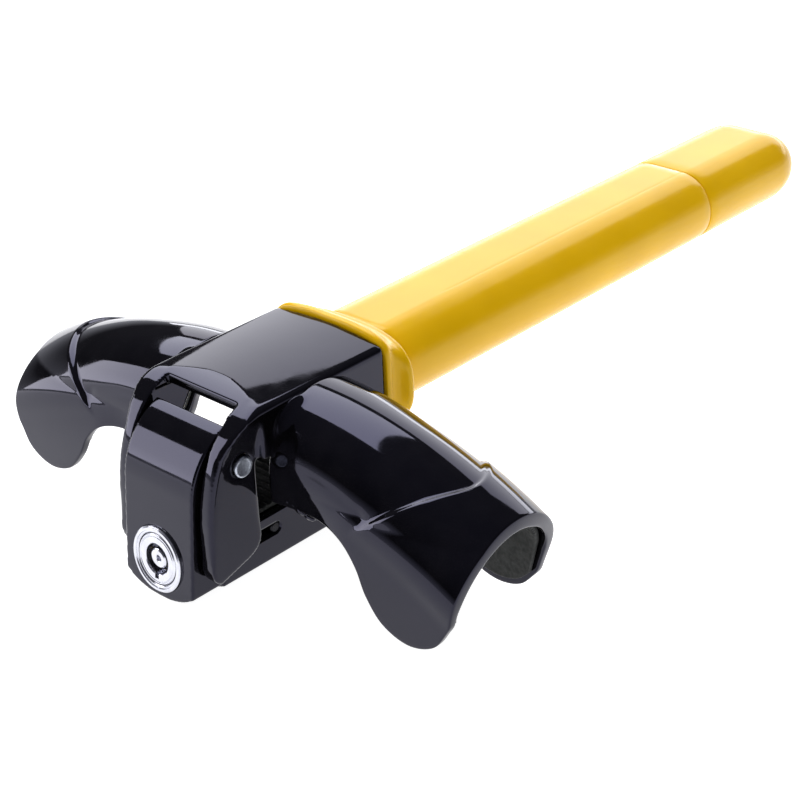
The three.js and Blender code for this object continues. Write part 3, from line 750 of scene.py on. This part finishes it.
def make_cap():
    start, straight_end = GRIP_SEAM + GAP, HANDLE_END - DOME
    rings = [inset_ring(GRIP_WALL, straight_end), inset_ring(GRIP_WALL, start), inset_ring(0.5, start),
             inset_ring(0.12, start + 0.25)]
    for k in range(9):
        rings.append(inset_ring(0, start + 0.6 + (straight_end - start - 0.6) * k / 8))
    for k in range(1, 19):
        turn = math.pi / 2 * k / 18
        rings.append(inset_ring(DOME * 0.55 * (1 - math.cos(turn)), straight_end + DOME * math.sin(turn)))
    cap = ring_stack("grip_tip", rings)
    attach(cap, "head")
    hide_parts("grip_end_cap")
    return cap


def collar_ring(y, half, low, top, power, crown, count=160):
    """Superelliptic ring: square and crowned at the head, round at the grip."""
    centre, high = (low + top) / 2, (top - low) / 2
    ring = []
    for i in range(count):
        angle = 2 * math.pi * (i + 0.5) / count
        c, s = math.cos(angle), math.sin(angle)
        x = half * math.copysign(abs(c) ** (2 / power), c)
        z = centre + high * math.copysign(abs(s) ** (2 / power), s)
        if s > 0:
            z += crown * (1 - (x / half) ** 2)
        ring.append((x, y, z))
    return ring


def make_collar():
    stations = [
        (COLLAR_START, 24.6, 28.6, 61.2, 7, 2.6), (82.35, 25.8, 27.7, 62.2, 7, 2.6),
        (82.7, 26.2, 27.5, 62.5, 7, 2.6), (84.4, 26.3, 27.4, 62.6, 7, 2.6),
        (85.0, 26.1, 27.5, 62.3, 6.8, 2.6), (85.6, 25.4, 28.0, 61.4, 6.5, 2.5),
        (86.4, 25.2, 28.2, 61.0, 6, 2.2), (87.8, 25.5, 28.2, 60.6, 5, 1.6),
        (89.4, 26.3, 27.7, 60.3, 4.2, 1.0), (90.8, 27.4, 27.0, 60.2, 3.4, 0.5),
        (91.8, 28.1, 26.6, 60.2, 3.1, 0.3), (92.6, 28.3, 26.5, 60.3, 3, 0.3),
        (93.3, 28.0, 26.8, 60.0, 3, 0.3), (93.8, 27.2, 27.4, 59.4, 3, 0.3),
        (94.0, 26.0, 28.4, 58.6, 3, 0.2), (94.0, 23.0, 28.9, 57.9, 2.9, 0),
    ]
    rings = [collar_ring(*station) for station in stations]
    inner = [(x * 0.86, y, GRIP_Z + (z - GRIP_Z) * 0.84) for x, y, z in rings[-1]]
    rings.append([(x, 93.6, z) for x, _, z in inner])
    rings.append([(x, 82.9, z) for x, _, z in inner])
    collar = ring_stack("collar_skin", rings, closed=True)
    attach(collar, "head")
    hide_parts("handle_collar")
    return collar


# ---- finishes -------------------------------------------------------------------------------
class Finish:
    """A node material in the part's own coordinates, so the grain keeps its real size."""

    def __init__(self, name, **fixed):
        self.material = bpy.data.materials.new(name)
        self.material.use_nodes = True
        self.tree = self.material.node_tree
        self.shader = self.tree.nodes["Principled BSDF"]
        for socket, value in fixed.items():
            self.shader.inputs[socket.replace("_", " ")].default_value = value
        self.place = self.tree.nodes.new("ShaderNodeTexCoord").outputs["Object"]
        self.last_bump = None

    def node(self, kind, **settings):
        made = self.tree.nodes.new(kind)
        for key, value in settings.items():
            setattr(made, key, value)
        return made

    def link(self, source, target):
        self.tree.links.new(source, target)

    def grain(self, size, detail=3.0, roughness=0.5):
        """Noise whose features are about size millimetres."""
        made = self.node("ShaderNodeTexNoise")
        made.inputs["Scale"].default_value = 1 / (size * MM)
        made.inputs["Detail"].default_value = detail
        made.inputs["Roughness"].default_value = roughness
        self.link(self.place, made.inputs["Vector"])
        return made.outputs["Fac"]

    def spread(self, fac, low, high, start=0.3, end=0.7):
        made = self.node("ShaderNodeMapRange")
        for socket, value in (("From Min", start), ("From Max", end), ("To Min", low), ("To Max", high)):
            made.inputs[socket].default_value = value
        self.link(fac, made.inputs["Value"])
        return made.outputs["Result"]

    def colour(self, fac, *stops):
        """Ramp through (place, colour) stops."""
        made = self.node("ShaderNodeValToRGB")
        ramp = made.color_ramp
        while len(ramp.elements) < len(stops):
            ramp.elements.new(0.5)
        for element, (position, value) in zip(ramp.elements, stops):
            element.position = position
            element.color = (*value, 1)
        self.link(fac, made.inputs["Fac"])
        self.link(made.outputs["Color"], self.shader.inputs["Base Color"])

    def rough(self, fac, low, high):
        self.link(self.spread(fac, low, high), self.shader.inputs["Roughness"])

    def bump(self, fac, depth, strength=1.0):
        """Relief of depth millimetres, on top of the relief added before."""
        made = self.node("ShaderNodeBump")
        made.inputs["Distance"].default_value = depth * MM
        made.inputs["Strength"].default_value = strength
        self.link(fac, made.inputs["Height"])
        if self.last_bump:
            self.link(self.last_bump, made.inputs["Normal"])
        self.last_bump = made.outputs["Normal"]
        self.link(self.last_bump, self.shader.inputs["Normal"])

    def rings(self, centre, spacing):
        """Fine turning marks round the lock's axis, which is along y."""
        shift = self.node("ShaderNodeVectorMath", operation="SUBTRACT")
        shift.inputs[1].default_value = centre
        self.link(self.place, shift.inputs[0])
        wave = self.node("ShaderNodeTexWave", wave_type="RINGS", rings_direction="Y")
        wave.inputs["Scale"].default_value = 0.32 / (spacing * MM)
        wave.inputs["Distortion"].default_value = 0.6
        wave.inputs["Detail"].default_value = 3
        wave.inputs["Detail Scale"].default_value = 2
        self.link(shift.outputs["Vector"], wave.inputs["Vector"])
        return wave.outputs["Fac"]


def black_gloss():
    # The lavender specular tint is a painted reflection colour: it tints every reflection in the paint
    # bluish, in place of bluish light.
    paint = Finish("black gloss paint", IOR=1.44, Specular_Tint=(0.71, 0.70, 1.0, 1))
    paint.colour(paint.grain(9), (0.35, (0.0010, 0.0009, 0.0011)), (0.65, (0.0026, 0.0024, 0.0028)))
    paint.rough(paint.grain(5, 4), 0.035, 0.075)
    paint.bump(paint.grain(18, 1), 0.06)
    paint.bump(paint.grain(2.2, 2), 0.003)
    return paint.material


def rubber():
    skin = Finish("black rubber")
    skin.colour(skin.grain(3), (0.3, (0.008, 0.009, 0.0085)), (0.7, (0.016, 0.018, 0.017)))
    skin.rough(skin.grain(1.2, 5), 0.62, 0.86)
    skin.bump(skin.grain(0.5, 4), 0.025, 0.5)
    return skin.material


def yellow_gloss():
    # The yellow specular tint is a painted reflection colour: reflections of the white floor and lamps
    # come out yellow instead of white, which keeps the coat's sides saturated.
    coat = Finish("yellow gloss plastic", IOR=1.45, Specular_Tint=(1.0, 0.90, 0.40, 1))
    coat.colour(coat.grain(30, 2), (0.3, (0.80, 0.45, 0.001)), (0.7, (0.87, 0.50, 0.003)))
    coat.rough(coat.grain(7, 4), 0.14, 0.24)
    coat.bump(coat.grain(60, 1), 0.08)
    coat.bump(coat.grain(1.4, 3), 0.006)
    return coat.material


def chrome():
    plate = Finish("turned chrome", Metallic=1.0)
    plate.colour(plate.grain(4), (0.3, (0.56, 0.565, 0.62)), (0.7, (0.66, 0.67, 0.72)))
    plate.rough(plate.grain(1.5, 5), 0.14, 0.26)
    plate.bump(plate.rings(at(0, 0, LOCK_Z), 0.12), 0.004, 0.6)
    return plate.material


def worn_steel(name, low, high, rough_low, rough_high, size):
    metal = Finish(name, Metallic=1.0)
    metal.colour(metal.grain(size, 6, 0.65), (0.32, low), (0.68, high))
    metal.rough(metal.grain(size * 0.5, 6, 0.6), rough_low, rough_high)
    metal.bump(metal.grain(size * 0.6, 5), 0.06, 0.7)
    return metal.material


def nylon():
    skin = Finish("black nylon")
    skin.colour(skin.grain(2), (0.3, (0.016, 0.017, 0.02)), (0.7, (0.03, 0.031, 0.035)))
    skin.rough(skin.grain(1), 0.45, 0.62)
    skin.bump(skin.grain(0.4), 0.02)
    return skin.material


def clothe(pieces, material):
    for piece in pieces:
        piece.data.materials.clear()
        piece.data.materials.append(material)


def clothe_nodes(names, material):
    for name in names:
        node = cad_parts[name]
        for place in node.material_slots:
            place.material = material
        bevelled(node, 0.1, 40, 2)


# ---- build ----------------------------------------------------------------------------------
def build_object():
    paint = black_gloss()
    wings = [make_wing(name, side) for name, side in SIDES]
    painted = [make_head(), *wings, *make_welds(), make_jaw_block(), make_jaw_arm()]
    clothe(painted, paint)
    linings = [make_wing_pad(name, side) for name, side in SIDES]
    clothe([*linings, make_crown_lining(), make_jaw_lining()], rubber())
    clothe([make_collar(), make_sleeve(), make_cap()], yellow_gloss())
    clothe([make_bezel(), make_barrel(), make_plug()], chrome())
    zinc = worn_steel("zinc plated steel", (0.30, 0.33, 0.39), (0.66, 0.70, 0.78), 0.3, 0.5, 1.0)
    steel = worn_steel("bright steel", (0.36, 0.37, 0.39), (0.58, 0.59, 0.61), 0.2, 0.38, 2.5)
    brass = worn_steel("turned brass", (0.50, 0.34, 0.12), (0.72, 0.52, 0.22), 0.2, 0.36, 1.5)
    clothe([make_rivet()], zinc)
    clothe([make_bolt()], steel)
    # The guide pin is coloured near black, far darker than the other steel parts.
    near_black_steel = worn_steel("near-black steel", (0.012, 0.012, 0.014), (0.03, 0.03, 0.034), 0.3, 0.5, 1.5)
    clothe([make_guide_pin()], near_black_steel)
    clothe_nodes(["strike_plate", "handle_core", "arm_dowel_left", "arm_dowel_right", "barrel_spring"],
                 steel)
    clothe_nodes(["plug_cam", "locking_pin", *[f"tumbler_{i}" for i in range(1, TUMBLERS + 1)]], brass)
    clothe_nodes(["hinge_washer_left", "hinge_washer_right"], nylon())


# ---- studio ---------------------------------------------------------------------------------
CENTRE = Vector((0.0, 0.0, 0.03))  # the lights stand round this point, in metres


def area_light(name, turn, distance, low_x, high_x, spread, radiance, colour=(1, 1, 1), in_gloss=True):
    """Softbox facing the wings' long axis.

    turn is its height round that axis in degrees, from behind the object (0) over its top (90) to
    its front (180); spread is how many degrees it fills; radiance is how bright its own face looks.
    """
    light = bpy.data.lights.new(name, "AREA")
    light.shape = "RECTANGLE"
    light.size = high_x - low_x
    light.size_y = 2 * distance * math.tan(math.radians(spread / 2))
    light.energy = radiance * math.pi * light.size * light.size_y
    light.color = colour
    lamp = bpy.data.objects.new(name, light)
    across = Vector((1, 0, 0))
    away = Vector((0, math.cos(math.radians(turn)), math.sin(math.radians(turn))))
    facing = Matrix((across, away.cross(across), away)).transposed().to_4x4()
    middle = Vector(((low_x + high_x) / 2, 0, 0)) + CENTRE + away * distance
    lamp.matrix_world = Matrix.Translation(middle) @ facing
    lamp.visible_glossy = in_gloss
    bpy.context.scene.collection.objects.link(lamp)


def add_lights():
    area_light("top left box", 79, 1.6, -2.3, -0.40, 48, 5.2, (0.93, 0.94, 1))
    area_light("rear left panel", 31, 1.8, -2.4, 0.15, 34, 2.5, (0.95, 0.95, 1))
    area_light("rear strip", 9, 1.9, -2.6, 0.5, 8, 4.2, (0.95, 0.96, 1))
    area_light("low left panel", 157, 1.5, -3.2, -0.98, 40, 5.2, (0.98, 0.97, 1))
    area_light("overhead fill", 85, 1.8, -1.1, 1.3, 66, 0.35, in_gloss=False)
    area_light("front fill", 140, 1.9, 0.2, 1.8, 40, 1.1, in_gloss=False)


def add_sky():
    """Pale near the horizon and dim overhead, as in a studio with black flags above."""
    world = bpy.data.worlds.new("studio")
    bpy.context.scene.world = world
    world.use_nodes = True
    tree = world.node_tree
    place = tree.nodes.new("ShaderNodeTexCoord")
    split = tree.nodes.new("ShaderNodeSeparateXYZ")
    ramp = tree.nodes.new("ShaderNodeValToRGB")
    tree.links.new(place.outputs["Generated"], split.inputs[0])
    tree.links.new(split.outputs["Z"], ramp.inputs["Fac"])
    elements = ramp.color_ramp.elements
    elements[0].position, elements[0].color = 0.0, (0.70, 0.71, 0.78, 1)
    elements[1].position, elements[1].color = 0.95, (0.16, 0.16, 0.19, 1)
    dim = elements.new(0.22)
    dim.color = (0.05, 0.05, 0.06, 1)
    tree.links.new(ramp.outputs["Color"], tree.nodes["Background"].inputs["Color"])


def add_floor():
    reach, low = 30.0, -0.0002
    mesh = bpy.data.meshes.new("floor")
    corners = [(-reach, -reach, low), (reach, -reach, low), (reach, reach, low), (-reach, reach, low)]
    mesh.from_pydata(corners, [], [(0, 1, 2, 3)])
    floor = bpy.data.objects.new("floor", mesh)
    bpy.context.scene.collection.objects.link(floor)
    paper = Finish("white paper")
    paper.colour(paper.grain(300), (0.3, (0.54, 0.54, 0.54)), (0.7, (0.57, 0.57, 0.57)))
    paper.rough(paper.grain(200), 0.8, 0.9)
    paper.shader.inputs["Emission Color"].default_value = (1, 1, 1, 1)
    paper.shader.inputs["Emission Strength"].default_value = 0.95
    mesh.materials.append(paper.material)


def add_camera():
    lens = bpy.data.cameras.new("camera")
    lens.lens = 84.2
    lens.sensor_width = 36
    lens.clip_start = 0.01
    camera = bpy.data.objects.new("camera", lens)
    right, up = Vector((0.7384, 0.6736, -0.0328)), Vector((-0.2956, 0.3669, 0.8823))
    back = right.cross(up)
    turn = Matrix((right, up, back)).transposed().to_4x4()
    camera.matrix_world = Matrix.Translation(Vector((0.40427, -0.48433, 0.33659))) @ turn
    bpy.context.scene.collection.objects.link(camera)
    bpy.context.scene.camera = camera


build_object()
add_sky()
add_lights()
add_floor()
add_camera()
bpy.context.scene.view_settings.view_transform = "Standard"
